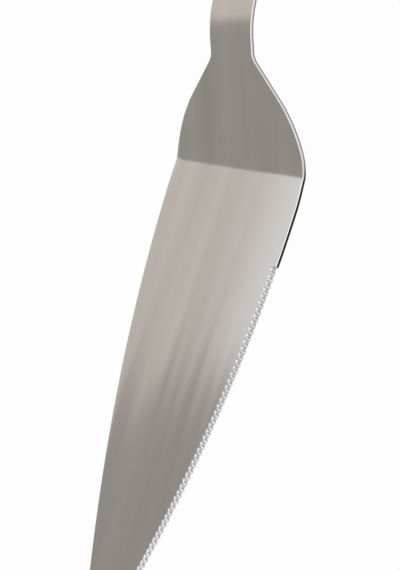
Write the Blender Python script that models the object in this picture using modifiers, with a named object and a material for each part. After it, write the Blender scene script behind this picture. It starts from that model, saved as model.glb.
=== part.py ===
"""Cake knife: a leaf blade stamped from sheet steel, with a scalloped edge, a cranked shoulder and a
full tang between two wooden scales that three two-part rivets hold.

Frame: the origin is on the blade's underside at its widest station. +X points to the scalloped edge,
+Y to the handle and +Z up, so the tip is at -Y and the blade lies flat on Z = 0.
"""

import math

import bmesh
import bpy

MM = 0.001

# Sheet steel
SHEET = 1.4 * MM
EDGE_BREAK = 0.3 * MM

# Leaf blade
BLADE_WIDTH = 55 * MM
LEAF_LENGTH = 157 * MM  # widest station to where the two curved edges would meet
NOSE_RADIUS = 6 * MM

# Shoulder and neck, lengths measured along the sheet from the widest station
CREASE_BACK = 5 * MM
CREASE_RADIUS = 6 * MM
CREASE_ANGLE = math.radians(21.5)
RAMP_CURVE = 8 * MM
RAMP_ANGLE = math.radians(30.3)
SHOULDER_LENGTH = 40.5 * MM
SHOULDER_RADIUS = 43.5 * MM
NECK_FILLET = 4.5 * MM
ARC_ROOM = 0.98  # largest share of the shoulder's room that its two arcs take
NECK_WIDTH = 16.8 * MM
NECK_PLAIN = 4 * MM  # still on the ramp, behind the fillets
NECK_RADIUS = 26 * MM  # bend from the ramp down to the handle's slope
NECK_LEAD = 4 * MM  # straight sheet in front of the scales
HANDLE_ANGLE = math.radians(9)

# Handle
HANDLE_LENGTH = 92 * MM
HANDLE_WIDTH = 19 * MM
BUTT_ROUND = 8 * MM
SCALE_FRONT = 4.2 * MM
SCALE_BACK = 5.2 * MM
SCALE_ROUND = 3.2 * MM
FIT_GAP = 0.2 * MM  # scale to tang, and rivet head to its seat

# Scalloped edge: grooves ground from the top face down to the underside
TOOTH_START = 21.89 * MM  # from the widest station towards the tip
TOOTH_PITCH = 2.043 * MM
TOOTH_TIP_MARGIN = 12 * MM
TOOTH_INSET = 0.32 * MM  # tooth points, inside the leaf's outline
SCALLOP_DEPTH = 0.5 * MM  # square to the groove's floor, at the underside
TOP_DEPTH = 0.5  # share of that depth at the top face
GROOVE_FALL = math.radians(60)
GROOVE_SLANT = math.radians(15)  # towards the tip, on the ground face

# Rivets
RIVET_FRONT = 14 * MM  # front rivet to the scales' front end
RIVET_REAR = 23 * MM  # rear rivet to the butt
RIVET_HEAD = 6 * MM
RIVET_HEAD_DEPTH = 1.5 * MM
RIVET_DOME = 0.15 * MM
RIVET_TUBE = 4.2 * MM
RIVET_PIN = 2.6 * MM
RIVET_PLAY = 0.1 * MM  # radial, pin in tube and tube in hole
RIVET_CHAMFER = 0.3 * MM

# Facets
NOSE_STEPS = 8
LEAF_STEPS = 36
ARC_STEPS = 10
BEND_STEPS = 6
TANG_STEPS = 18
BUTT_STEPS = 9
GROOVE_STEPS = 6
TURNED_STEPS = 28
EDGE_SEGMENTS = 2
SCALE_SEGMENTS = 4
OVERCUT = 0.6 * MM  # how far cutters run past what they cut
MERGE = 1e-6
SHARP_ANGLE = math.radians(40)

STEEL = ("brushed_steel", (0.56, 0.53, 0.50), 0.32, 1.0)
WOOD = ("walnut", (0.20, 0.10, 0.05), 0.5, 0.0)
RIVET_STEEL = ("polished_steel", (0.62, 0.61, 0.60), 0.2, 1.0)


def leaf_half(ahead):
    """Half the leaf's width, a parabola of the distance ahead of the widest station."""
    return BLADE_WIDTH / 2 * (1 - (ahead / LEAF_LENGTH) ** 2)


def leaf_heading(ahead):
    """Angle by which the leaf's edge turns in towards the centre line."""
    return math.atan(BLADE_WIDTH * ahead / LEAF_LENGTH**2)


def nose_tangent():
    """Where the nose's circle touches the leaf's edges, found by halving the interval."""
    low, high = 0.0, LEAF_LENGTH
    for _ in range(60):
        ahead = (low + high) / 2
        if leaf_half(ahead) > NOSE_RADIUS * math.cos(leaf_heading(ahead)):
            low = ahead
        else:
            high = ahead
    return low


NOSE_START = nose_tangent()
NOSE_HEADING = leaf_heading(NOSE_START)
NOSE_CENTRE = NOSE_START - NOSE_RADIUS * math.sin(NOSE_HEADING)
TIP = NOSE_CENTRE + NOSE_RADIUS


def shoulder_arcs():
    """The shoulder's radius and the heading of the straight that joins its arc to the neck fillet.

    The two arcs share a tangent. Their radii leave room for it on a short or steep shoulder."""
    drop = (BLADE_WIDTH - NECK_WIDTH) / 2
    most = (SHOULDER_LENGTH**2 / drop + drop) / 2
    share = min(1.0, ARC_ROOM * most / (SHOULDER_RADIUS + NECK_FILLET))
    big, small = SHOULDER_RADIUS * share, NECK_FILLET * share
    both = big + small
    straight = math.sqrt(SHOULDER_LENGTH**2 + (both - drop) ** 2 - both**2)
    heading = math.atan2(SHOULDER_LENGTH, both - drop) - math.atan2(straight, both)
    return big, small, heading


BIG_ARC, SMALL_ARC, SHOULDER_HEADING = shoulder_arcs()

CREASE_ARC = CREASE_RADIUS * CREASE_ANGLE
CREASE_START = CREASE_BACK - CREASE_ARC / 2
NECK_ARC = NECK_RADIUS * (RAMP_ANGLE - HANDLE_ANGLE)
NECK_BEND = SHOULDER_LENGTH + NECK_PLAIN
HANDLE_FRONT = NECK_BEND + NECK_ARC + NECK_LEAD
HANDLE_END = HANDLE_FRONT + HANDLE_LENGTH

# Length along the sheet and angle turned, one pair for each stretch behind the flat blade
BENDS = (
    (CREASE_ARC, CREASE_ANGLE),
    (RAMP_CURVE, RAMP_ANGLE - CREASE_ANGLE),
    (NECK_BEND - CREASE_START - CREASE_ARC - RAMP_CURVE, 0.0),
    (NECK_ARC, HANDLE_ANGLE - RAMP_ANGLE),
    (NECK_LEAD + HANDLE_LENGTH, 0.0),
)


def handle_half(along):
    """Half the handle's width: it swells smoothly from the neck and ends in half an ellipse."""
    body = HANDLE_LENGTH - BUTT_ROUND
    share = min(along / body, 1.0)
    half = NECK_WIDTH / 2 + (HANDLE_WIDTH - NECK_WIDTH) / 2 * share * share * (3 - 2 * share)
    past = max(along - body, 0.0) / BUTT_ROUND
    return half * math.sqrt(max(1 - past * past, 0.0))


def half_width(along):
    """Half the sheet's width at a length along it, negative towards the tip."""
    if along < -NOSE_START:
        return math.sqrt(max(NOSE_RADIUS**2 - (along + NOSE_CENTRE) ** 2, 0.0))
    if along < 0:
        return leaf_half(-along)
    if along < BIG_ARC * math.sin(SHOULDER_HEADING):
        return BLADE_WIDTH / 2 - BIG_ARC + math.sqrt(BIG_ARC**2 - along**2)
    to_neck = SHOULDER_LENGTH - along
    if to_neck > SMALL_ARC * math.sin(SHOULDER_HEADING):
        start = BIG_ARC * math.sin(SHOULDER_HEADING)
        half = BLADE_WIDTH / 2 - BIG_ARC * (1 - math.cos(SHOULDER_HEADING))
        return half - (along - start) * math.tan(SHOULDER_HEADING)
    if to_neck > 0:
        return NECK_WIDTH / 2 + SMALL_ARC - math.sqrt(SMALL_ARC**2 - to_neck**2)
    if along < HANDLE_FRONT:
        return NECK_WIDTH / 2
    return handle_half(along - HANDLE_FRONT)


def bend(along):
    """Y, Z and slope of the sheet's middle at a length along it."""
    if along <= CREASE_START:
        return along, SHEET / 2, 0.0
    y, z, slope = CREASE_START, SHEET / 2, 0.0
    left = along - CREASE_START
    for length, turn in BENDS:
        step = min(left, length)
        turned = turn * step / length
        chord = step if turned == 0 else 2 * step / turned * math.sin(turned / 2)
        y += chord * math.cos(slope + turned / 2)
        z += chord * math.sin(slope + turned / 2)
        slope += turned
        left -= step
    return y, z, slope


def spread(start, end, steps):
    return [start + (end - start) * i / steps for i in range(steps + 1)]


def stations():
    """Lengths along the sheet that need a row of points, closest together where it curves."""
    nose = spread(math.pi / 2, NOSE_HEADING, NOSE_STEPS)
    turns = spread(0, SHOULDER_HEADING, ARC_STEPS)
    found = [-NOSE_CENTRE - NOSE_RADIUS * math.sin(a) for a in nose]
    found += spread(-NOSE_START, 0, LEAF_STEPS)
    found += [BIG_ARC * math.sin(a) for a in turns]
    found += [SHOULDER_LENGTH - SMALL_ARC * math.sin(a) for a in turns]
    found += spread(CREASE_START, CREASE_START + CREASE_ARC, BEND_STEPS)
    found += spread(CREASE_START + CREASE_ARC, CREASE_START + CREASE_ARC + RAMP_CURVE, BEND_STEPS)
    found += spread(NECK_BEND, NECK_BEND + NECK_ARC, ARC_STEPS)
    found += handle_stations()
    rows = []
    for along in sorted(found):
        if not rows or along - rows[-1] > EDGE_BREAK / 2:
            rows.append(along)
    return rows


def handle_stations():
    body = HANDLE_LENGTH - BUTT_ROUND
    butt = [body + BUTT_ROUND * math.sin(a) for a in spread(0, math.pi / 2, BUTT_STEPS)]
    return [HANDLE_FRONT + along for along in spread(0, body, TANG_STEPS) + butt[1:]]


def material(name, colour, roughness, metallic):
    made = bpy.data.materials.new(name)
    made.use_nodes = True
    shader = made.node_tree.nodes["Principled BSDF"]
    shader.inputs["Base Color"].default_value = (*colour, 1.0)
    shader.inputs["Roughness"].default_value = roughness
    shader.inputs["Metallic"].default_value = metallic
    return made


def add_object(name, bm, collection, look=None, smooth=True):
    mesh = bpy.data.meshes.new(name)
    bm.to_mesh(mesh)
    bm.free()
    if smooth:
        mesh.shade_smooth()
        mesh.set_sharp_from_angle(angle=SHARP_ANGLE)
    obj = bpy.data.objects.new(name, mesh)
    collection.objects.link(obj)
    if look:
        mesh.materials.append(look)
    return obj


def as_cutter(obj):
    obj.hide_render = True
    obj.display_type = "WIRE"
    return obj


def cut(obj, cutter):
    modifier = obj.modifiers.new(cutter.name, "BOOLEAN")
    modifier.operation = "DIFFERENCE"
    modifier.solver = "EXACT"
    modifier.object = cutter


def turned(name, profile, collection, look=None):
    """A solid of revolution about Z from its outline, given from the axis at the top to the axis below."""
    bm = bmesh.new()
    points = [bm.verts.new((radius, 0.0, z)) for radius, z in profile]
    for upper, lower in zip(points, points[1:]):
        bm.edges.new((upper, lower))
    obj = add_object(name, bm, collection, look)
    screw = obj.modifiers.new("turn", "SCREW")
    screw.axis = "Z"
    screw.steps = screw.render_steps = TURNED_STEPS
    screw.use_merge_vertices = True
    screw.merge_threshold = MERGE
    return obj


def sheet_blank(collection, look):
    """The blade's sheet: a grid one cell wide, cut to the outline and bent along its length."""
    rows = stations()
    bm = bmesh.new()
    bmesh.ops.create_grid(bm, x_segments=1, y_segments=len(rows) - 1, size=0.5)
    for vert in bm.verts:
        along = rows[round((vert.co.y + 0.5) * (len(rows) - 1))]
        side = math.copysign(half_width(along), vert.co.x)
        y, z, _ = bend(along)
        vert.co = (side, y, z)
    bmesh.ops.remove_doubles(bm, verts=bm.verts, dist=MERGE)
    obj = add_object("blade", bm, collection, look, smooth=False)
    thick = obj.modifiers.new("sheet", "SOLIDIFY")
    thick.thickness = SHEET
    thick.offset = 0
    thick.use_even_offset = True
    edges = obj.modifiers.new("edges", "BEVEL")
    edges.width = EDGE_BREAK
    edges.segments = EDGE_SEGMENTS
    edges.limit_method = "ANGLE"
    edges.angle_limit = SHARP_ANGLE
    return obj


def groove_cutter(collection):
    """One comb that grinds every scallop.

    Its floor falls outwards from above the top face to below the underside, and rises to a cusp
    between grooves as a cylinder's wall does. Each groove deepens and leans towards the tip as it falls."""
    teeth = int((TIP - TOOTH_TIP_MARGIN - TOOTH_START) / TOOTH_PITCH)
    step = TOOTH_PITCH / GROOVE_STEPS
    radius = (TOOTH_PITCH**2 / 4 + SCALLOP_DEPTH**2) / (2 * SCALLOP_DEPTH)
    recess = TOOTH_INSET + SCALLOP_DEPTH / math.sin(GROOVE_FALL)
    levels = (SHEET + OVERCUT, -OVERCUT)
    bm = bmesh.new()
    sections = []
    ahead = TOOTH_START
    for i in range(teeth * GROOVE_STEPS + 1):
        heading = leaf_heading(ahead)
        off_centre = (i % GROOVE_STEPS) * step - TOOTH_PITCH / 2
        rise = radius - math.sqrt(radius**2 - off_centre**2)
        ring = []
        for z, outside in zip(levels + levels[::-1], (False, False, True, True)):
            depth_share = 1 - (1 - TOP_DEPTH) * z / SHEET
            inward = recess + z / math.tan(GROOVE_FALL) - rise * depth_share / math.sin(GROOVE_FALL)
            if outside:
                inward = -recess - 2 * SHEET
            lean = (SHEET / 2 - z) / math.sin(GROOVE_FALL) * math.tan(GROOVE_SLANT)
            x = leaf_half(ahead) - inward * math.cos(heading) - lean * math.sin(heading)
            y = -ahead + inward * math.sin(heading) - lean * math.cos(heading)
            ring.append(bm.verts.new((x, y, z)))
        sections.append(ring)
        ahead += step * math.cos(heading)
    for ring, after in zip(sections, sections[1:]):
        for j in range(4):
            bm.faces.new((ring[j], ring[j - 1], after[j - 1], after[j]))
    bm.faces.new(sections[0])
    bm.faces.new(sections[-1])
    bmesh.ops.recalc_face_normals(bm, faces=bm.faces)
    return as_cutter(add_object("groove_cutter", bm, collection))


def scale_height(along):
    return SCALE_FRONT + (SCALE_BACK - SCALE_FRONT) * along / HANDLE_LENGTH


def scale(name, side, collection, datum, look):
    """A handle half on one face of the tang: the tang's outline, thickened, with its outer rim rounded."""
    rows = [along - HANDLE_FRONT for along in handle_stations()]
    outline = [(handle_half(along), along) for along in rows]
    outline += [(-half, along) for half, along in outline[-2::-1]]
    base = SHEET / 2 + FIT_GAP
    bm = bmesh.new()
    face = bm.faces.new([bm.verts.new((x, y, 0.0)) for x, y in outline])
    top = bmesh.ops.extrude_face_region(bm, geom=[face])["geom"]
    bmesh.ops.translate(
        bm, verts=[item for item in top if isinstance(item, bmesh.types.BMVert)], vec=(0, 0, SCALE_BACK)
    )
    rim = [item for item in top if isinstance(item, bmesh.types.BMEdge)]
    bmesh.ops.bevel(
        bm,
        geom=rim,
        offset=SCALE_ROUND,
        segments=SCALE_SEGMENTS,
        profile=0.5,
        affect="EDGES",
        clamp_overlap=True,
    )
    for vert in bm.verts:
        vert.co.z = side * (base + vert.co.z * scale_height(vert.co.y) / SCALE_BACK)
    bmesh.ops.recalc_face_normals(bm, faces=bm.faces)
    obj = add_object(name, bm, collection, look)
    obj.parent = datum
    return obj


def rivet(name, along, parts, cutters, datum, look):
    """A two-part rivet, cap above and post below, and the stepped hole that both sit in."""
    outer = SHEET / 2 + FIT_GAP + scale_height(along)
    under = outer - RIVET_HEAD_DEPTH
    head, tube, pin = RIVET_HEAD / 2, RIVET_TUBE / 2, RIVET_PIN / 2
    bore = pin + RIVET_PLAY
    tube_end = FIT_GAP - under
    bore_top = under - FIT_GAP
    pin_top = bore_top - FIT_GAP
    cap = [
        (0, outer + RIVET_DOME),
        (head - RIVET_CHAMFER, outer),
        (head, outer - RIVET_CHAMFER),
        (head, under),
        (tube, under),
        (tube, tube_end),
        (bore, tube_end),
        (bore, bore_top),
        (0, bore_top),
    ]
    post = [
        (0, pin_top),
        (pin - RIVET_CHAMFER, pin_top),
        (pin, pin_top - RIVET_CHAMFER),
        (pin, -under),
        (head, -under),
        (head, RIVET_CHAMFER - outer),
        (head - RIVET_CHAMFER, -outer),
        (0, -outer - RIVET_DOME),
    ]
    seat = under - FIT_GAP
    wide, narrow = head + RIVET_PLAY, tube + RIVET_PLAY
    end = outer + OVERCUT
    upper = [(0, end), (wide, end), (wide, seat), (narrow, seat)]
    hole = upper + [(radius, -z) for radius, z in upper[::-1]]
    made = (
        turned(name + "_rivet_cap", cap, parts, look),
        turned(name + "_rivet_post", post, parts, look),
        as_cutter(turned(name + "_rivet_hole", hole, cutters)),
    )
    for obj in made:
        obj.parent = datum
        obj.location.y = along
    return made[-1]


def main():
    for obj in list(bpy.data.objects):
        bpy.data.objects.remove(obj, do_unlink=True)
    parts = bpy.data.collections.new("cake_knife")
    cutters = bpy.data.collections.new("cutters")
    for collection in (parts, cutters):
        bpy.context.scene.collection.children.link(collection)
    steel, wood, rivet_steel = material(*STEEL), material(*WOOD), material(*RIVET_STEEL)

    datum = bpy.data.objects.new("handle_datum", None)
    parts.objects.link(datum)
    y, z, _ = bend(HANDLE_FRONT)
    datum.location = (0.0, y, z)
    datum.rotation_euler.x = HANDLE_ANGLE

    blade = sheet_blank(parts, steel)
    cut(blade, groove_cutter(cutters))
    scales = [scale("upper_scale", 1, parts, datum, wood), scale("lower_scale", -1, parts, datum, wood)]
    rear = HANDLE_LENGTH - RIVET_REAR
    for name, along in (("front", RIVET_FRONT), ("middle", (RIVET_FRONT + rear) / 2), ("rear", rear)):
        hole = rivet(name, along, parts, cutters, datum, rivet_steel)
        for obj in (blade, *scales):
            cut(obj, hole)


main()
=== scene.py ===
import math

import bmesh
import bpy
import numpy as np
from mathutils import Matrix, Vector


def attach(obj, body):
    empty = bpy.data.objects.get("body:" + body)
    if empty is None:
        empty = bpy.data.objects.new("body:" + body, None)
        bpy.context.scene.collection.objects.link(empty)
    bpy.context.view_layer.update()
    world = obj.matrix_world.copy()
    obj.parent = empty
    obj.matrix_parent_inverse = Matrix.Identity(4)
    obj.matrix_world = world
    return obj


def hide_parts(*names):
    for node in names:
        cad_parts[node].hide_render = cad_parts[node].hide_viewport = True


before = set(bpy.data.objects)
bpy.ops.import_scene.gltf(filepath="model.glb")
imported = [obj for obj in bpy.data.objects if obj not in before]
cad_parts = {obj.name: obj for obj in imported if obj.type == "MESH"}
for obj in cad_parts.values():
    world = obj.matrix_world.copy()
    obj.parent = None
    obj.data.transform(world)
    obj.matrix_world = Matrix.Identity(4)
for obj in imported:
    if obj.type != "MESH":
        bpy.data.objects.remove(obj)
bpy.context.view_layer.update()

mm = 0.001  # shapes are worked out in millimetres and scaled when they become meshes
meshing = {"doubles": 1e-6, "slivers": 1e-7}  # distances under which points and edges are merged, in m
print("frame loaded:", len(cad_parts), "solids")


def gridFaces(rows, columns, closedAcross=False):
    # one quad for each cell of a rows x columns grid, going round if the grid is closed across
    spans = columns if closedAcross else columns - 1
    i, j = np.meshgrid(np.arange(rows - 1), np.arange(spans), indexing="ij")
    k = (j + 1) % columns
    quads = (i * columns + j, i * columns + k, (i + 1) * columns + k, (i + 1) * columns + j)
    return np.stack(quads, axis=-1).reshape(-1, 4)


def setMasks(mesh, masks, domain):
    # each mask is one number for every point or face
    for key, values in masks.items():
        mesh.attributes.new(key, "FLOAT", domain).data.foreach_set("value", np.float32(values).ravel())


def addPiece(name, points, faces, uv=None, pointMasks=None, faceMasks=None, sharpAngle=35):
    # points in mm become a closed mesh: masks and uv first, then doubles merged and normals set outwards
    mesh = bpy.data.meshes.new(name)
    mesh.from_pydata((points * mm).tolist(), [], faces.tolist())
    setMasks(mesh, pointMasks or {}, "POINT")
    setMasks(mesh, faceMasks or {}, "FACE")
    if uv is not None:
        layer = mesh.uv_layers.new(name="UVMap")
        layer.data.foreach_set("uv", np.float32(uv[faces.ravel()]).ravel())
    bm = bmesh.new()
    bm.from_mesh(mesh)
    bmesh.ops.remove_doubles(bm, verts=bm.verts, dist=meshing["doubles"])
    bmesh.ops.dissolve_degenerate(bm, edges=bm.edges, dist=meshing["slivers"])
    bmesh.ops.recalc_face_normals(bm, faces=bm.faces)
    bm.to_mesh(mesh)
    bm.free()
    mesh.shade_smooth()
    mesh.set_sharp_from_angle(angle=math.radians(sharpAngle))
    piece = bpy.data.objects.new(name, mesh)
    bpy.context.scene.collection.objects.link(piece)
    return piece


def dress(piece, look, node):
    # gives a piece its one material and its body, and hides the solid that it stands for
    piece.data.materials.clear()
    piece.data.materials.append(look)
    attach(piece, "root")
    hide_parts(node)


def smooth(share):
    # eased step: 0 up to 0, 1 from 1 on, level at both ends
    share = np.clip(share, 0, 1)
    return share * share * (3 - 2 * share)


def evenRows(start, end, gap):
    # evenly spaced from start to end, about gap apart
    return np.linspace(start, end, max(2, int(abs(end - start) / gap) + 1))


# Sheet steel: outline, bends and the scalloped edge, in mm
sheet = {
    "thickness": 1.4,
    "topRound": 0.32,  # roundings of the plain edge
    "underRound": 0.3,
    "width": 55.0,
    "leafLength": 157.0,  # widest station to where the curved edges would meet
    "noseRadius": 6.0,
    "creaseBack": 5.0,  # from the widest station to the middle of the crease
    "creaseRadius": 6.0,
    "creaseAngle": math.radians(21.5),
    "rampCurve": 8.0,  # behind the crease, where the shoulder bends on up to rampAngle
    "rampAngle": math.radians(30.3),
    "shoulderLength": 40.5,
    "shoulderRadius": 43.5,
    "neckFillet": 4.5,
    "neckWidth": 16.8,
    "neckPlain": 4.0,  # straight neck before its bend
    "neckRadius": 26.0,
    "neckLead": 4.0,  # straight neck from its bend to the handle
    "handleAngle": math.radians(9),
    "handleLength": 92.0,
    "handleWidth": 19.0,
    "buttRound": 8.0,
}
teeth = {
    "start": 21.89,  # from the widest station towards the tip
    "pitch": 2.043,
    "tipMargin": 12.0,
    "inset": 0.32,
    "depth": 0.5,
    "topDepth": 0.5,  # share of the depth that is left where a groove runs out on the top face
    "fall": math.radians(60),
    "slant": math.radians(15),
    "runIn": 0.8,  # length over which the first and last grooves fade into the plain edge
}
grid = {
    "grooveRows": 16,  # for each groove
    "noseRows": 24,
    "buttRows": 20,
    "rowGap": 1.0,
    "creaseGap": 0.12,
    "creaseMargin": 1.0,  # closer rows this far in front of the crease and behind it
    "fill": 24,  # columns between the rims
    "quarter": 5,  # points on each quarter circle of a rim
    "noseSamples": 200001,
    "edgeSamples": 20001,
    "leastWidth": 1.0,  # keeps shares of the width finite at the nose and the butt
    "uvUnit": 100.0,
}


def leafHalf(ahead):
    # parabola: half the width falls with the square of the distance ahead of the widest station
    return sheet["width"] / 2 * (1 - (ahead / sheet["leafLength"]) ** 2)


def leafTurn(ahead):
    # angle by which the leaf's edge turns in towards the centre line
    return np.arctan(sheet["width"] * ahead / sheet["leafLength"] ** 2)


def noseCircle():
    # the circle on the centre line that touches both curved edges: start of the arc, its turn, its centre
    ahead = np.linspace(0, sheet["leafLength"], grid["noseSamples"])
    miss = leafHalf(ahead) - sheet["noseRadius"] * np.cos(leafTurn(ahead))
    start = np.interp(0, -miss, ahead)
    turn = leafTurn(start)
    return start, turn, start - sheet["noseRadius"] * np.sin(turn)


def shoulderHeading():
    # heading of the straight that is tangent to the shoulder's arc and to the neck fillet
    drop = (sheet["width"] - sheet["neckWidth"]) / 2
    both = sheet["shoulderRadius"] + sheet["neckFillet"]
    straight = math.sqrt(sheet["shoulderLength"] ** 2 + (both - drop) ** 2 - both**2)
    return math.atan2(sheet["shoulderLength"], both - drop) - math.atan2(straight, both)


noseStart, noseTurn, noseCentre = noseCircle()
tip = noseCentre + sheet["noseRadius"]
heading = shoulderHeading()
creaseArc = sheet["creaseRadius"] * sheet["creaseAngle"]
creaseStart = sheet["creaseBack"] - creaseArc / 2
creaseEnd = creaseStart + creaseArc
neckArc = sheet["neckRadius"] * (sheet["rampAngle"] - sheet["handleAngle"])
neckBend = sheet["shoulderLength"] + sheet["neckPlain"]
handleFront = neckBend + neckArc + sheet["neckLead"]
handleBody = sheet["handleLength"] - sheet["buttRound"]
bends = (  # length along the sheet and angle turned, for each stretch behind the flat blade
    (creaseArc, sheet["creaseAngle"]),
    (sheet["rampCurve"], sheet["rampAngle"] - sheet["creaseAngle"]),
    (neckBend - creaseEnd - sheet["rampCurve"], 0.0),
    (neckArc, sheet["handleAngle"] - sheet["rampAngle"]),
    (sheet["neckLead"] + sheet["handleLength"], 0.0),
)


def bendPath(along):
    # y, z and slope of the sheet's middle: each stretch adds the chord of its own arc
    y = np.minimum(along, creaseStart)
    z = np.full_like(y, sheet["thickness"] / 2)
    slope = np.zeros_like(y)
    left = np.maximum(along - creaseStart, 0)
    for length, turn in bends:
        step = np.minimum(left, length)
        turned = turn * step / length
        chord = step * np.sinc(turned / 2 / np.pi)
        y = y + chord * np.cos(slope + turned / 2)
        z = z + chord * np.sin(slope + turned / 2)
        slope = slope + turned
        left = left - step
    return y, z, slope


def swell(along):
    # half the handle's width, rising smoothly from the neck's to the handle's
    narrow = sheet["neckWidth"] / 2
    return narrow + (sheet["handleWidth"] / 2 - narrow) * smooth(along / handleBody)


def halfWidth(along):
    # half the sheet's width behind the nose: leaf, shoulder arc, straight, neck fillet and neck, handle
    big, small = sheet["shoulderRadius"], sheet["neckFillet"]
    wide, narrow = sheet["width"] / 2, sheet["neckWidth"] / 2
    arcEnd = big * math.sin(heading)
    filletStart = sheet["shoulderLength"] - small * math.sin(heading)
    toNeck = np.clip(sheet["shoulderLength"] - along, 0, small)
    return np.select(
        (along < 0, along < arcEnd, along < filletStart, along < handleFront),
        (
            leafHalf(along),
            wide - big + np.sqrt(np.maximum(big**2 - along**2, 0)),
            wide - big * (1 - math.cos(heading)) - (along - arcEnd) * math.tan(heading),
            narrow + small - np.sqrt(small**2 - toNeck**2),
        ),
        swell(along - handleFront),
    )


def outlineTurn(along):
    # angle of the outline's outward normal, positive towards the handle
    gap = 0.01
    return -np.arctan((halfWidth(along + gap) - halfWidth(along - gap)) / (2 * gap))


def toothRows():
    # rows evenly spaced on the scalloped edge: length along the sheet, groove's rise, share ground, place
    fine = np.linspace(teeth["start"], tip, grid["edgeSamples"])
    run = np.concatenate(([0], np.cumsum(np.diff(fine) / np.cos(leafTurn(fine[1:])))))
    count = int((tip - teeth["tipMargin"] - teeth["start"]) / teeth["pitch"])
    index = np.arange(count * grid["grooveRows"] + 1)
    travel = index * teeth["pitch"] / grid["grooveRows"]
    off = (index % grid["grooveRows"]) * teeth["pitch"] / grid["grooveRows"] - teeth["pitch"] / 2
    radius = (teeth["pitch"] ** 2 / 4 + teeth["depth"] ** 2) / (2 * teeth["depth"])
    rise = radius - np.sqrt(radius**2 - off**2)
    ground = smooth(np.minimum(travel, travel[-1] - travel) / teeth["runIn"])
    return -np.interp(travel, run, fine)[::-1], rise[::-1], ground[::-1], off[::-1] / teeth["pitch"]


def sheetRows():
    # each row from tip to butt: length along the sheet, half width, normal's angle, groove's three values
    noseAngle = np.linspace(np.pi / 2, noseTurn, grid["noseRows"])
    buttAngle = np.linspace(0, np.pi / 2, grid["buttRows"])[1:]
    toothAlong, *toothValues = toothRows()
    gap = grid["rowGap"]
    closeFrom, closeTo = creaseStart - grid["creaseMargin"], creaseEnd + grid["creaseMargin"]
    front = evenRows(-noseStart, toothAlong[0], gap)[1:-1]
    middle = np.concatenate((
        front,
        toothAlong,
        evenRows(toothAlong[-1], closeFrom, gap)[1:],
        evenRows(closeFrom, closeTo, grid["creaseGap"])[1:],
        evenRows(closeTo, handleFront + handleBody, gap)[1:],
    ))
    nose, butt = sheet["noseRadius"], sheet["buttRound"]
    wide = sheet["handleWidth"] / 2
    along = np.concatenate((
        -noseCentre - nose * np.sin(noseAngle),
        middle,
        handleFront + handleBody + butt * np.sin(buttAngle),
    ))
    half = np.concatenate((
        nose * np.cos(noseAngle),
        halfWidth(middle),
        wide * np.cos(buttAngle),
    ))
    turn = np.concatenate((
        -noseAngle,
        outlineTurn(middle),
        np.arctan2(np.sin(buttAngle) / butt, np.cos(buttAngle) / wide),
    ))
    grooves = np.zeros((3, len(along)))
    first = len(noseAngle) + len(front)
    grooves[:, first:first + len(toothAlong)] = toothValues
    return along, half, turn, *grooves


# Painted shade and painted highlights in each groove, standing in for how the light falls on the ground
# faces.
# Places and widths are shares of the pitch, from the groove's middle towards the tip. Feet and tops are
# shares of its height, where rises and falls are how fast a mark comes and goes. A pair is the value at the
# first groove and the value from grownBy on.
paintedGrooveMarks = {
    "grownBy": 65.0,  # in mm along the blade
    "shade": 0.36,  # painted shade on the flank that faces the handle
    "shadeWidth": 0.12,
    "shadeShare": (1.0, 0.85),
    "shadeFoot": 0.3,
    "shadeTop": 0.95,
    "shadeFall": 5.0,
    "hollow": -0.27,  # painted shade at the groove's upper end
    "hollowWidth": 0.2,
    "hollowShare": (0.0, 0.55),
    "hollowFoot": 0.55,
    "hollowRise": 4.0,
    "crest": -0.42,  # painted highlight on the flank that faces the tip
    "crestWidth": 0.15,
    "crestShare": (1.0, 0.75),
    "crestFoot": -0.05,
    "crestRise": 4.0,
    "crestBend": 0.06,  # how far it bends back towards the handle above bendFoot
    "bendFoot": 0.5,
    "lip": (0.13, 0.20),  # painted highlight, a crescent along the groove's upper end
    "lipWidth": 0.19,
    "lipFoot": 0.60,
    "lipRise": 6.0,
    "lipReach": 0.4,  # how far it runs on over the top face, in mm
}


def bell(place, middle, width):
    # bell curve that repeats with every groove
    return np.exp(-(((place - middle + 0.5) % 1 - 0.5) / width) ** 2)


def grownTo(along, ends):
    # the pair's first value at the first groove, changing evenly to the second, which holds from grownBy on
    return np.interp(-along, (teeth["start"], teeth["start"] + paintedGrooveMarks["grownBy"]), ends)


def lipBell(along, place):
    # how strong the lip's painted highlight is across each groove
    return bell(place, grownTo(along, paintedGrooveMarks["lip"]), paintedGrooveMarks["lipWidth"])


def grooveShadeAndHighlight(along, place, level):
    # painted shade on one flank and in the hollow, and painted highlights on the other flank and the lip,
    # at each place along a groove and level up its face
    marks = paintedGrooveMarks
    shade = bell(place, marks["shade"], marks["shadeWidth"]) * smooth(level / marks["shadeFoot"])
    shade = shade * (1 - smooth((level - marks["shadeTop"]) * marks["shadeFall"]))
    shade = shade * grownTo(along, marks["shadeShare"])
    hollow = bell(place, marks["hollow"], marks["hollowWidth"])
    hollow = hollow * smooth((level - marks["hollowFoot"]) * marks["hollowRise"])
    hollow = hollow * grownTo(along, marks["hollowShare"])
    bend = marks["crestBend"] * smooth((level - marks["bendFoot"]) / (1 - marks["bendFoot"]))
    crest = bell(place, marks["crest"] - bend, marks["crestWidth"])
    crest = crest * smooth((level - marks["crestFoot"]) * marks["crestRise"])
    crest = crest * grownTo(along, marks["crestShare"])
    lip = lipBell(along, place) * smooth((level - marks["lipFoot"]) * marks["lipRise"])
    return np.maximum(shade, hollow), np.maximum(lip, crest)
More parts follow.
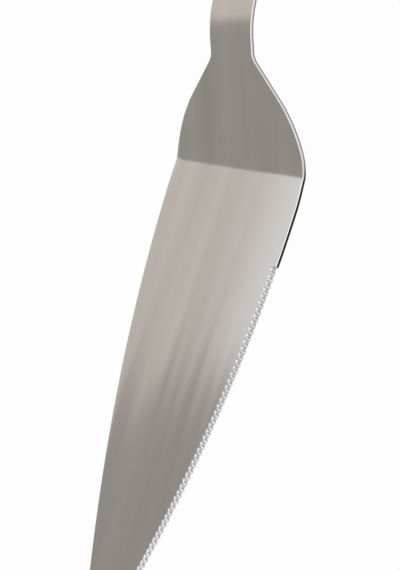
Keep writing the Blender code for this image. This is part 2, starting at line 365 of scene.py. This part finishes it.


# Roundings of the sheet, and masks of its painted light and shade and of its waves, lengths in mm
finish = {
    "shoulderFade": 8.0,  # length behind the crease over which the top edge gets sharper
    "shoulderRound": 0.1,
    # painted highlight along the shoulder's top edge
    "shoulderGleam": 0.75,
    "sideFoot": 0.5,  # share of a quarter circle at which the cut side's painted shade sets in, and how fast
    "sideRise": 3.0,
    "leftEdge": 0.3,  # share of the polished rim's painted highlight and of the painted gleam on the left edge
    "cornerPlace": 3.5,  # where the scalloped side's edge is rounded off at the crease and brightened by a painted highlight
    "cornerReach": 8.0,
    "cornerPull": 0.36,
    "cornerGleam": 0.85,
    "creaseLag": 0.3,  # how much nearer to the handle the crease ends on that side
    "lagSpan": (0.1, 0.6),  # shares of the half width between which it grows
    "lagFade": 8.0,
    "marginStart": 0.1,  # painted light, a brighter strip towards the scalloped edge, from this share of the half width on
    "marginPower": 1.3,
    "marginEnd": 68.0,  # ahead of the widest station
    "marginFade": 26.0,
    "marginStop": 2.0,  # length of the crease over which it stops
    "waveFade": 8.0,  # length in front of the crease over which the sheet's waves die out
}
quarterAngle = np.linspace(0, np.pi / 2, grid["quarter"])
rimAngle = np.concatenate((quarterAngle, quarterAngle[::-1]))  # round a rim from the top to the underside
rimAbove = np.arange(len(rimAngle)) < len(quarterAngle)
rimHeight = np.linspace(sheet["thickness"], 0, len(rimAngle))  # of the ground rim's points


def behindCrease(along):
    # 0 on the flat blade, easing to 1 on the shoulder
    return smooth((along - creaseStart) / finish["shoulderFade"])


def atCorner(along):
    # 1 at the corner's place, easing to 0 at its reach on both sides
    return smooth(1 - np.abs(along - finish["cornerPlace"]) / finish["cornerReach"])


def plainRim(along, half, turn):
    # a quarter circle above and one below: x, length along the sheet, level over its middle
    topRound = sheet["topRound"] + behindCrease(along) * (finish["shoulderRound"] - sheet["topRound"])
    radius = np.where(rimAbove, topRound, sheet["underRound"])
    inset = radius * (1 - np.sin(rimAngle))
    level = np.where(rimAbove, 1, -1) * (sheet["thickness"] / 2 - radius * (1 - np.cos(rimAngle)))
    return half - inset * np.cos(turn), along - inset * np.sin(turn), level


def groundRim(along, half, turn, rise):
    # a face that falls outwards, less each groove's arc, leaning along the edge: the same three values
    steep = math.sin(teeth["fall"])
    recess = teeth["inset"] + teeth["depth"] / steep
    rise = rise * (1 - (1 - teeth["topDepth"]) * rimHeight / sheet["thickness"])
    inward = recess + rimHeight / math.tan(teeth["fall"]) - rise / steep
    lean = (sheet["thickness"] / 2 - rimHeight) / steep * math.tan(teeth["slant"])
    x = half - inward * np.cos(turn) + lean * np.sin(turn)
    length = along - inward * np.sin(turn) - lean * np.cos(turn)
    return x, length, rimHeight - sheet["thickness"] / 2


def rimMasks(along, ground, place, shape, firstRim):
    # points of both rims: polished rounding brightened into a painted highlight, painted shade on the cut
    # side, and painted highlights along the shoulder, at the corner and over the lips
    behind = behindCrease(along)
    polishAndHighlight = (1 - behind) * np.sin(2 * rimAngle) * rimAbove
    paintedSideShade = smooth((rimAngle / (np.pi / 2) - finish["sideFoot"]) * finish["sideRise"])
    paintedSideShade = paintedSideShade * (1 - behind * rimAbove)
    shoulder = finish["shoulderGleam"] * behind * (rimAngle > 0)
    corner = finish["cornerGleam"] * atCorner(along) * np.cos(rimAngle)
    gleam = np.maximum(shoulder, corner) * rimAbove
    left = finish["leftEdge"]
    masks = {}
    for key, values, leftShare in (("rim", polishAndHighlight, left), ("side", paintedSideShade, 1), ("gleam", gleam, left)):
        masks[key] = np.zeros(shape)
        masks[key][:, :len(rimAngle)] = leftShare * values[:, ::-1]
        masks[key][:, firstRim:firstRim + len(rimAngle)] = values * (1 - ground)
    masks["gleam"][:, firstRim:firstRim + 1] += ground * lipBell(along, place)
    return masks


def grooveMasks(along, ground, place, shape, firstRim):
    # faces of the ground rim: each has the mean of its four corners
    rows, columns = shape
    shade, crest = grooveShadeAndHighlight(along, place, rimHeight / sheet["thickness"])
    masks = {}
    for key, values in (("ground", ground), ("shade", ground * shade), ("crest", ground * crest)):
        values = np.broadcast_to(values, (rows, len(rimAngle)))
        corners = values[1:, 1:], values[1:, :-1], values[:-1, 1:], values[:-1, :-1]
        masks[key] = np.zeros((rows - 1, columns))
        masks[key][:, firstRim:firstRim + len(rimAngle) - 1] = np.mean(corners, axis=0)
    return masks


def creaseLag(across, length):
    # grows from the middle towards the scalloped side and dies out behind the crease
    lagFrom, lagTo = finish["lagSpan"]
    lag = finish["creaseLag"] * smooth((across - lagFrom) / (lagTo - lagFrom))
    return lag * (1 - smooth((length - creaseEnd) / finish["lagFade"]))


def flatMasks(across, length, lag):
    # points of the flat faces: the margin's painted light and the place of the sheet's waves
    start = finish["marginStart"]
    margin = np.clip((across - start) / (1 - start), 0, 1) ** finish["marginPower"]
    margin = margin * smooth((length + finish["marginEnd"]) / finish["marginFade"])
    margin = margin * (1 - smooth((length - lag - creaseStart) / finish["marginStop"]))
    wavy = 1 - smooth((length - creaseStart) / finish["waveFade"] + 1)
    return {"margin": margin, "wavy": wavy}


def bladeSurface():
    # closed section carried along the bent sheet: left rim, top, rounded or ground right rim, underside
    along, half, turn, rise, ground, place = (row[:, None] for row in sheetRows())
    plainX, plainAlong, plainLevel = plainRim(along, half, turn)
    groundX, groundAlong, groundLevel = groundRim(along, half, turn, rise)
    rimX = plainX - finish["cornerPull"] * atCorner(along) + ground * (groundX - plainX)
    rimAlong = plainAlong + ground * (groundAlong - plainAlong)
    rimLevel = plainLevel + ground * (groundLevel - plainLevel)

    fill = np.linspace(0, 1, grid["fill"] + 2)[None, 1:-1]
    wide = rimX[:, :1] + plainX[:, :1]
    lipEnd = 1 - paintedGrooveMarks["lipReach"] / np.maximum(wide, grid["leastWidth"])
    onTop = np.hstack((fill + 0 * wide, np.maximum(lipEnd, fill[:, -1:])))
    topX = -plainX[:, :1] + onTop * wide
    topAlong = plainAlong[:, :1] + onTop * (rimAlong[:, :1] - plainAlong[:, :1])
    lowX = rimX[:, -1:] - fill * (rimX[:, -1:] + plainX[:, -1:])
    lowAlong = rimAlong[:, -1:] - fill * (rimAlong[:, -1:] - plainAlong[:, -1:])
    flat = sheet["thickness"] / 2

    x = np.hstack((-plainX[:, ::-1], topX, rimX, lowX))
    length = np.hstack((plainAlong[:, ::-1], topAlong, rimAlong, lowAlong))
    offset = np.hstack((plainLevel[:, ::-1], flat + 0 * topX, rimLevel, -flat + 0 * lowX))
    across = x / np.maximum(half, grid["leastWidth"])
    lag = creaseLag(across, length)
    y, z, slope = bendPath(length - lag)
    points = np.stack((x, y + lag - offset * np.sin(slope), z + offset * np.cos(slope)), axis=-1)
    uv = np.stack((x, length), axis=-1) / grid["uvUnit"]

    firstRim = len(rimAngle) + topX.shape[1]  # column at which the right rim starts
    onPoints = rimMasks(along, ground, place, x.shape, firstRim) | flatMasks(across, length, lag)
    onFaces = grooveMasks(along, ground, place, x.shape, firstRim)
    return points.reshape(-1, 3), gridFaces(*x.shape, True), uv.reshape(-1, 2), onPoints, onFaces


# Handle scales and rivets, in mm
scale = {
    "front": 4.2,  # height at the neck and at the butt
    "back": 5.2,
    "round": 3.2,
    "power": 4.0,  # of the superellipse
    "fitGap": 0.2,  # from the tang to the solid's scale
    "seam": 0.02,  # what this finer scale leaves of it
    "endRows": 14,
    "rowGap": 1.5,
    "columns": 49,
}
rivet = {
    "front": 14.0,  # from the scales' front end
    "rear": 23.0,  # from the butt
    "head": 6.0,
    "headDepth": 1.5,
    "dome": 0.15,
    "tube": 4.2,
    "pin": 2.6,
    "play": 0.1,
    "chamfer": 0.3,
    "overrun": 1.0,  # how far the hole's cutter stands out of the scales
    "steps": 64,
    "domeSteps": 9,
    "chamferSteps": 6,
}


def onHandle(x, along, level):
    # from the handle's own axes to the frame: along its slope from the scales' front end
    y, z, slope = bendPath(np.array([handleFront]))
    c, s = math.cos(slope[0]), math.sin(slope[0])
    placed = np.broadcast_arrays(x, y[0] + along * c - level * s, z[0] + along * s + level * c)
    return np.stack(placed, axis=-1)


def scaleHeight(along):
    # rises evenly from the neck to the butt
    return scale["front"] + (scale["back"] - scale["front"]) * along / sheet["handleLength"]


def scaleSurface(side):
    # height over the tang is a superellipse across the handle, rounded down at the front and the butt
    turn = np.linspace(0, np.pi / 2, scale["endRows"])
    along = np.concatenate((
        scale["round"] * (1 - np.cos(turn)),
        evenRows(scale["round"], handleBody, scale["rowGap"])[1:],
        handleBody + sheet["buttRound"] * np.sin(turn)[1:],
    ))[:, None]
    past = np.clip((along - handleBody) / sheet["buttRound"], 0, 1)
    half = swell(along) * np.sqrt(1 - past**2)
    front = np.clip(1 - along / scale["round"], 0, 1)
    back = np.clip(1 - (sheet["handleLength"] - along) / scale["round"], 0, 1)
    ends = np.sqrt(np.clip(1 - front**2, 0, 1)) * np.sqrt(np.clip(1 - back**2, 0, 1))
    angle = np.linspace(0, np.pi, scale["columns"])[None, :]
    across = np.sign(np.cos(angle)) * np.abs(np.cos(angle)) ** (2 / scale["power"])
    crown = np.abs(np.sin(angle)) ** (2 / scale["power"])
    crown[:, [0, -1]] = 0
    base = sheet["thickness"] / 2 + scale["seam"]
    top = sheet["thickness"] / 2 + scale["fitGap"] + scaleHeight(along) - base
    outer = onHandle(half * across, along, side * (base + top * ends * crown)).reshape(-1, 3)
    inner = onHandle(half * across, along, side * base).reshape(-1, 3)
    faces = gridFaces(len(along), scale["columns"])
    return np.concatenate((outer, inner)), np.concatenate((faces, faces[:, ::-1] + len(outer)))


def turnedSurface(profile, along):
    # outline from axis to axis, turned about the rivet's axis
    radius, level = np.array(profile).T[:, :, None]
    step = np.arange(rivet["steps"])[None, :] + 0.5  # no corner lies on an axis
    angle = step * 2 * np.pi / rivet["steps"]
    points = onHandle(radius * np.cos(angle), along + radius * np.sin(angle), level + 0 * angle)
    return points.reshape(-1, 3), gridFaces(len(profile), rivet["steps"], True)


def rivetProfiles(along):
    # cap with its tube, post with its pin, and the stepped hole for both, each from the axis to the axis
    outer = sheet["thickness"] / 2 + scale["fitGap"] + scaleHeight(along)
    under = outer - rivet["headDepth"]
    head, tube, pin = rivet["head"] / 2, rivet["tube"] / 2, rivet["pin"] / 2
    gap, edge = scale["fitGap"], rivet["chamfer"]
    bore, tubeEnd, boreTop = pin + rivet["play"], gap - under, under - gap
    pinTop = boreTop - gap
    shares = np.linspace(0, 1, rivet["domeSteps"])
    turns = np.linspace(0, np.pi / 2, rivet["chamferSteps"])[1:]
    face = [((head - edge) * s, outer + rivet["dome"] * (1 - s * s)) for s in shares]
    face += [(head - edge + edge * math.sin(t), outer - edge + edge * math.cos(t)) for t in turns]
    cap = face + [(head, under), (tube, under), (tube, tubeEnd)]
    cap += [(bore, tubeEnd), (bore, boreTop), (0, boreTop)]
    post = [(0, pinTop), (pin - edge, pinTop), (pin, pinTop - edge), (pin, -under), (head, -under)]
    post += [(r, -z) for r, z in face[::-1]]
    wide, narrow, end = head + rivet["play"], tube + rivet["play"], outer + rivet["overrun"]
    hole = [(0, end), (wide, end), (wide, boreTop), (narrow, boreTop)]
    hole += [(r, -z) for r, z in hole[::-1]]
    return cap, post, hole


def drill(pieces, holes):
    # cuts the rivet holes and keeps the result as each piece's own mesh
    for piece in pieces:
        for hole in holes:
            cut = piece.modifiers.new("hole", "BOOLEAN")
            cut.operation = "DIFFERENCE"
            cut.solver = "EXACT"
            cut.object = hole
    graph = bpy.context.evaluated_depsgraph_get()
    for piece in pieces:
        drilled = piece.evaluated_get(graph)
        made = bpy.data.meshes.new_from_object(drilled, preserve_all_data_layers=True, depsgraph=graph)
        piece.modifiers.clear()
        piece.data = made
    for hole in holes:
        bpy.data.objects.remove(hole, do_unlink=True)


# Finishes
def addNode(tree, kind, values=None, **settings):
    # settings are the node's own, and a value is linked to its input if it is another node's output
    made = tree.nodes.new("ShaderNode" + kind)
    for key, value in settings.items():
        setattr(made, key, value)
    for key, value in (values or {}).items():
        if isinstance(value, bpy.types.NodeSocket):
            tree.links.new(value, made.inputs[key])
        else:
            made.inputs[key].default_value = value
    return made


def calc(tree, operation, first, second):
    return addNode(tree, "Math", {0: first, 1: second}, operation=operation).outputs[0]


def calcVector(tree, operation, first, second):
    return addNode(tree, "VectorMath", {0: first, 1: second}, operation=operation).outputs[0]


def ramp(tree, value, span, ends=(0, 1)):
    # carries the span of a value over to the ends
    return addNode(tree, "MapRange", {"Value": value, "From Min": span[0], "From Max": span[1],
                                      "To Min": ends[0], "To Max": ends[1]}).outputs[0]


def mixValue(tree, factor, first, second):
    # inputs 0, 2 and 3 of a Mix node are its factor and two values, and output 0 is their mix
    return addNode(tree, "Mix", {0: factor, 2: first, 3: second}).outputs[0]


def mixColour(tree, factor, first, second):
    # inputs 0, 6 and 7 of a Mix node are its factor and two colours, and output 2 is their mix
    return addNode(tree, "Mix", {0: factor, 6: first, 7: second}, data_type="RGBA").outputs[2]


def mask(tree, key):
    return addNode(tree, "Attribute", attribute_name=key).outputs["Fac"]


def newLook(name, metallic):
    look = bpy.data.materials.new(name)
    look.use_nodes = True
    shader = look.node_tree.nodes["Principled BSDF"]
    shader.inputs["Metallic"].default_value = metallic
    return look, look.node_tree, shader


brushNoise = {
    "Lines": (1.0, 4.0),  # output's share of the lines per m, and its noise's detail
    "Bands": (0.04, 1.0),
}
brushRoughness = 0.6


def newGroup(name, inputs, outputs):
    group = bpy.data.node_groups.new(name, "ShaderNodeTree")
    for title, kind in inputs.items():
        group.interface.new_socket(title, in_out="INPUT", socket_type="NodeSocket" + kind)
    for title, kind in outputs.items():
        group.interface.new_socket(title, in_out="OUTPUT", socket_type="NodeSocket" + kind)
    return group, group.nodes.new("NodeGroupInput").outputs, group.nodes.new("NodeGroupOutput").inputs


def brushLinesGroup():
    # noise drawn out along the piece: fine lines and the soft wide bands that lie under them
    group, given, wanted = newGroup(
        "brush lines", {"Vector": "Vector", "Lines per m": "Float", "Stretch": "Float"},
        {"Lines": "Float", "Bands": "Float"})
    slow = calc(group, "DIVIDE", given["Lines per m"], given["Stretch"])
    for title, (share, depth) in brushNoise.items():
        fast = calc(group, "MULTIPLY", given["Lines per m"], share)
        step = addNode(group, "CombineXYZ", {"X": fast, "Y": slow, "Z": slow}).outputs[0]
        spot = calcVector(group, "MULTIPLY", given["Vector"], step)
        noise = addNode(group, "TexNoise", {"Vector": spot, "Scale": 1.0, "Detail": depth,
                                            "Roughness": brushRoughness})
        group.links.new(noise.outputs[0], wanted[title])
    return group


def brushed(tree, group, spot, linesPerM, stretch):
    # the shared lines, placed in one material with its own values
    values = {"Vector": spot, "Lines per m": linesPerM, "Stretch": stretch}
    return addNode(tree, "Group", values, node_tree=group).outputs


steelFinish = {
    "dark": (0.570, 0.521, 0.474, 1),
    "light": (0.638, 0.584, 0.531, 1),
    # painted light: a brighter strip towards the scalloped edge
    "margin": (0.79, 0.768, 0.752, 1),
    # the polished rim, brightened into a painted highlight
    "rim": (0.95, 0.95, 0.95, 1),
    # painted shade on the cut side
    "side": (0.010, 0.009, 0.008, 1),
    "ground": (0.53, 0.53, 0.53, 1),
    # painted shade in the grooves
    "shade": (0.08, 0.08, 0.08, 1),
    # painted highlight in the grooves
    "crest": (1.0, 1.0, 1.0, 1),
    # painted highlights along the shoulder, at the corner and over the lips
    "gleam": (0.95, 0.95, 0.95, 1),
    "linesPerM": 3000.0,
    "stretch": 400.0,
    "lineShare": 0.12,  # of the lines in the tone, the bands give the rest
    "toneSpan": (0.3, 0.7),
    "rough": (0.195, 0.205),
    "roughSpan": (0.35, 0.65),
    "groundRough": 0.16,
    "anisotropy": 0.45,
    "wave": 0.00037,  # how far the rolled sheet's bands rise, in m
    "bandShift": 1.191,  # which stretch of the bands lies on the blade, in m
}


def bladeSteel(brushLines):
    look, tree, shader = newLook("brushed steel", 1.0)
    spot = addNode(tree, "TexCoord").outputs["Object"]
    moved = calcVector(tree, "ADD", spot, (steelFinish["bandShift"], 0, 0))
    brush = brushed(tree, brushLines, moved, steelFinish["linesPerM"], steelFinish["stretch"])
    tone = mixValue(tree, steelFinish["lineShare"], brush["Bands"], brush["Lines"])
    tone = ramp(tree, tone, steelFinish["toneSpan"])
    colour = mixColour(tree, tone, steelFinish["dark"], steelFinish["light"])
    # painted light mixed into the colour: the margin's brighter strip, the rim's highlight, the cut side's
    # shade, then the grooves' own tone with their painted shade and highlights, and the painted gleam
    for key in ("margin", "rim", "side", "ground", "shade", "crest", "gleam"):
        colour = mixColour(tree, mask(tree, key), colour, steelFinish[key])
    tree.links.new(colour, shader.inputs["Base Color"])
    rough = ramp(tree, brush["Lines"], steelFinish["roughSpan"], steelFinish["rough"])
    rough = mixValue(tree, mask(tree, "ground"), rough, steelFinish["groundRough"])
    tree.links.new(rough, shader.inputs["Roughness"])
    shader.inputs["Anisotropic"].default_value = steelFinish["anisotropy"]
    tangent = addNode(tree, "Tangent", direction_type="UV_MAP", uv_map="UVMap")
    tree.links.new(tangent.outputs[0], shader.inputs["Tangent"])
    bump = addNode(tree, "Bump", {"Height": brush["Bands"], "Strength": mask(tree, "wavy"),
                                  "Distance": steelFinish["wave"]})
    tree.links.new(bump.outputs[0], shader.inputs["Normal"])
    return look


woodFinish = {
    "dark": (0.055, 0.026, 0.013, 1),
    "light": (0.20, 0.105, 0.055, 1),
    "pore": (0.02, 0.01, 0.006, 1),
    "grainDraw": (1.0, 0.09, 1.0),  # draws the rings out along the handle
    "cloudScale": 120.0,
    "cloudDetail": 3.0,
    "cloudRoughness": 0.55,
    "ringScale": 80 / 3,
    "ringDistortion": 5.0,
    "ringDetail": 3.0,
    "ringDetailScale": 2.0,
    "toneSpan": (0.05, 0.6),
    "poresPerM": 2600.0,
    "poreStretch": 14.0,
    "poreSpan": (0.36, 0.46),
    "poreShare": 0.75,
    "poreStrength": 0.25,
    "poreDepth": 0.0001,  # in m
    "rough": (0.38, 0.55),
    "roughSpan": (0.3, 0.7),
}


def walnut(brushLines):
    wood = woodFinish
    look, tree, shader = newLook("walnut", 0.0)
    spot = addNode(tree, "TexCoord").outputs["Object"]
    turned = addNode(tree, "Mapping", {"Vector": spot, "Rotation": (-sheet["handleAngle"], 0, 0)}).outputs[0]
    drawn = calcVector(tree, "MULTIPLY", turned, wood["grainDraw"])
    clouds = addNode(tree, "TexNoise", {"Vector": drawn, "Scale": wood["cloudScale"],
                                        "Detail": wood["cloudDetail"], "Roughness": wood["cloudRoughness"]})
    rings = addNode(tree, "TexWave", {"Vector": drawn, "Scale": wood["ringScale"],
                                      "Distortion": wood["ringDistortion"], "Detail": wood["ringDetail"],
                                      "Detail Scale": wood["ringDetailScale"]},
                    wave_type="BANDS", bands_direction="DIAGONAL")
    tone = calc(tree, "MULTIPLY", clouds.outputs[0], rings.outputs["Fac"])
    pores = brushed(tree, brushLines, turned, wood["poresPerM"], wood["poreStretch"])
    pore = ramp(tree, pores["Lines"], wood["poreSpan"], (1, 0))
    colour = mixColour(tree, ramp(tree, tone, wood["toneSpan"]), wood["dark"], wood["light"])
    colour = mixColour(tree, ramp(tree, pore, (0, 1), (0, wood["poreShare"])), colour, wood["pore"])
    tree.links.new(colour, shader.inputs["Base Color"])
    rough = ramp(tree, pores["Bands"], wood["roughSpan"], wood["rough"])
    tree.links.new(rough, shader.inputs["Roughness"])
    bump = addNode(tree, "Bump", {"Height": pore, "Strength": wood["poreStrength"],
                                  "Distance": wood["poreDepth"]}, invert=True)
    tree.links.new(bump.outputs[0], shader.inputs["Normal"])
    return look


rivetFinish = {
    "dark": (0.58, 0.57, 0.56, 1),
    "light": (0.72, 0.71, 0.70, 1),
    "linesPerM": 5000.0,
    "stretch": 20.0,
    "rough": (0.16, 0.3),
    "roughSpan": (0.3, 0.7),
}


def rivetSteel(brushLines):
    look, tree, shader = newLook("polished rivet steel", 1.0)
    spot = addNode(tree, "TexCoord").outputs["Object"]
    brush = brushed(tree, brushLines, spot, rivetFinish["linesPerM"], rivetFinish["stretch"])
    colour = mixColour(tree, brush["Lines"], rivetFinish["dark"], rivetFinish["light"])
    tree.links.new(colour, shader.inputs["Base Color"])
    rough = ramp(tree, brush["Lines"], rivetFinish["roughSpan"], rivetFinish["rough"])
    tree.links.new(rough, shader.inputs["Roughness"])
    return look


brushLines = brushLinesGroup()
steelLook = bladeSteel(brushLines)
woodLook = walnut(brushLines)
rivetLook = rivetSteel(brushLines)
print("finishes ready")

blade = addPiece("cake_blade", *bladeSurface(), sharpAngle=30)
upper = addPiece("upper_handle_scale", *scaleSurface(1))
lower = addPiece("lower_handle_scale", *scaleSurface(-1))
rearAlong = sheet["handleLength"] - rivet["rear"]
middleAlong = (rivet["front"] + rearAlong) / 2
holes = []
rivets = {}
for word, along in (("front", rivet["front"]), ("middle", middleAlong), ("rear", rearAlong)):
    cap, post, hole = rivetProfiles(along)
    holes.append(addPiece(word + "_hole", *turnedSurface(hole, along)))
    for part, profile in (("cap", cap), ("post", post)):
        rivets[word + "_rivet_" + part] = addPiece(word + "_" + part, *turnedSurface(profile, along))
bored = (blade, upper, lower)
drill(bored, holes)
dress(blade, steelLook, "blade")
dress(upper, woodLook, "upper_scale")
dress(lower, woodLook, "lower_scale")
for node, piece in rivets.items():
    dress(piece, rivetLook, node)
print("pieces made:", len(bored) + len(rivets))

# Floor, light and camera, in m
stage = {
    "floorReach": 12.0,  # the floor is flat this far out and then curves up into a low white wall
    "coveRadius": 0.6,
    "wallHeight": 1.7,
    "floorDrop": 0.0002,
    "coveSteps": 9,
    "turnSteps": 64,
    "white": (0.95, 0.95, 0.95, 1),
    "floorRough": 0.9,
    "shownLevel": 1.0,  # strength at which the floor is seen, where 1 is white
    "shownShare": 0.95,  # the rest is the lit paper with its shadow
    "worldColour": (1, 1, 1, 1),
    "worldLevel": 0.44,
}


def studioFloor():
    # outline of floor, cove and wall, turned about the vertical axis
    turn = np.linspace(0, np.pi / 2, stage["coveSteps"])
    reach, cove, steps = stage["floorReach"], stage["coveRadius"], stage["turnSteps"]
    radius = np.concatenate(([0], reach + cove * np.sin(turn), [reach + cove]))[:, None]
    level = np.concatenate(([0], cove * (1 - np.cos(turn)), [stage["wallHeight"]]))[:, None]
    angle = np.arange(steps)[None, :] * 2 * np.pi / steps
    outline = (radius * np.cos(angle), radius * np.sin(angle), level - stage["floorDrop"] + 0 * angle)
    points = np.stack(outline, axis=-1).reshape(-1, 3) / mm
    floor = addPiece("floor", points, gridFaces(len(radius), steps, True))
    floor.data.materials.append(whitePaper())


def whitePaper():
    # lit paper that is mixed with plain white where the camera or a mirror sees it
    look, tree, shader = newLook("white paper", 0.0)
    shader.inputs["Base Color"].default_value = stage["white"]
    shader.inputs["Roughness"].default_value = stage["floorRough"]
    shader.inputs["Specular IOR Level"].default_value = 0.0
    path = addNode(tree, "LightPath").outputs
    seen = calc(tree, "MAXIMUM", path["Is Camera Ray"], path["Is Glossy Ray"])
    seen = calc(tree, "MAXIMUM", seen, path["Is Transmission Ray"])
    share = calc(tree, "MULTIPLY", seen, stage["shownShare"])
    glow = addNode(tree, "Emission", {"Strength": stage["shownLevel"]}).outputs[0]
    mixed = addNode(tree, "MixShader", {0: share, 1: shader.outputs[0], 2: glow}).outputs[0]
    tree.links.new(mixed, tree.nodes["Material Output"].inputs["Surface"])
    return look


softboxes = {  # place, what it faces, size, turn about its axis in degrees, brightness where 1 is white
    "left softbox": ((-0.987, 0.232, 0.712), (-0.277, 0.232, -0.03), (0.9, 1.6), 25, 0.36),
    "front softbox": ((0.38, -0.9, 0.24), (0.0, -0.05, 0.0), (0.9, 0.45), 0, 0.25),
    "right card": ((0.9, -0.2, 0.13), (0.0, -0.06, 0.0), (1.4, 0.3), 0, 0.26),
    "tip card": ((0.565, -0.90, 0.13), (0.02, -0.06, 0.0), (0.45, 0.3), 0, 0.05),
    "top softbox": ((0.75, -0.20, 1.0), (0.0, -0.03, 0.0), (1.6, 1.5), 90, 0.95),
}


def addSoftbox(name, spot, target, size, turn, level):
    # an area lamp shows its brightness where its energy is brightness x pi x area
    lamp = bpy.data.lights.new(name, "AREA")
    lamp.shape = "RECTANGLE"
    lamp.size, lamp.size_y = size
    lamp.energy = level * math.pi * size[0] * size[1]
    made = bpy.data.objects.new(name, lamp)
    made.location = spot
    facing = (Vector(spot) - Vector(target)).to_track_quat("Z", "Y").to_matrix()
    made.rotation_euler = (facing @ Matrix.Rotation(math.radians(turn), 3, "Z")).to_euler()
    made.visible_camera = False
    bpy.context.scene.collection.objects.link(made)


def studioWorld():
    world = bpy.data.worlds.new("studio")
    world.use_nodes = True
    sky = world.node_tree.nodes["Background"].inputs
    sky["Color"].default_value = stage["worldColour"]
    sky["Strength"].default_value = stage["worldLevel"]
    bpy.context.scene.world = world


view = {
    "azimuth": math.radians(87.505),
    "elevation": math.radians(46.446),
    "roll": math.radians(-70.982),
    "aim": Vector((-1.484, -32.860, -0.158)) * mm,
    "distance": 0.29776,
    "lens": 60.449,
    "sensor": 36.0,
    "farEnd": 50.0,
}


def addCamera():
    # stands off the aim by the distance, upright, and is then rolled about its own axis
    azimuth, elevation = view["azimuth"], view["elevation"]
    flat = math.cos(elevation)
    towards = Vector((flat * math.sin(azimuth), -flat * math.cos(azimuth), math.sin(elevation)))
    right = Vector((0, 0, 1)).cross(towards).normalized()
    upright = Matrix((right, towards.cross(right), towards)).transposed()
    turned = upright @ Matrix.Rotation(view["roll"], 3, "Z")
    data = bpy.data.cameras.new("camera")
    data.lens = view["lens"]
    data.sensor_width = view["sensor"]
    data.clip_end = view["farEnd"]
    camera = bpy.data.objects.new("camera", data)
    camera.matrix_world = Matrix.Translation(view["aim"] + towards * view["distance"]) @ turned.to_4x4()
    bpy.context.scene.collection.objects.link(camera)
    bpy.context.scene.camera = camera


studioFloor()
for name, values in softboxes.items():
    addSoftbox(name, *values)
studioWorld()
addCamera()
bpy.context.scene.view_settings.view_transform = "Standard"
print("stage and camera ready")
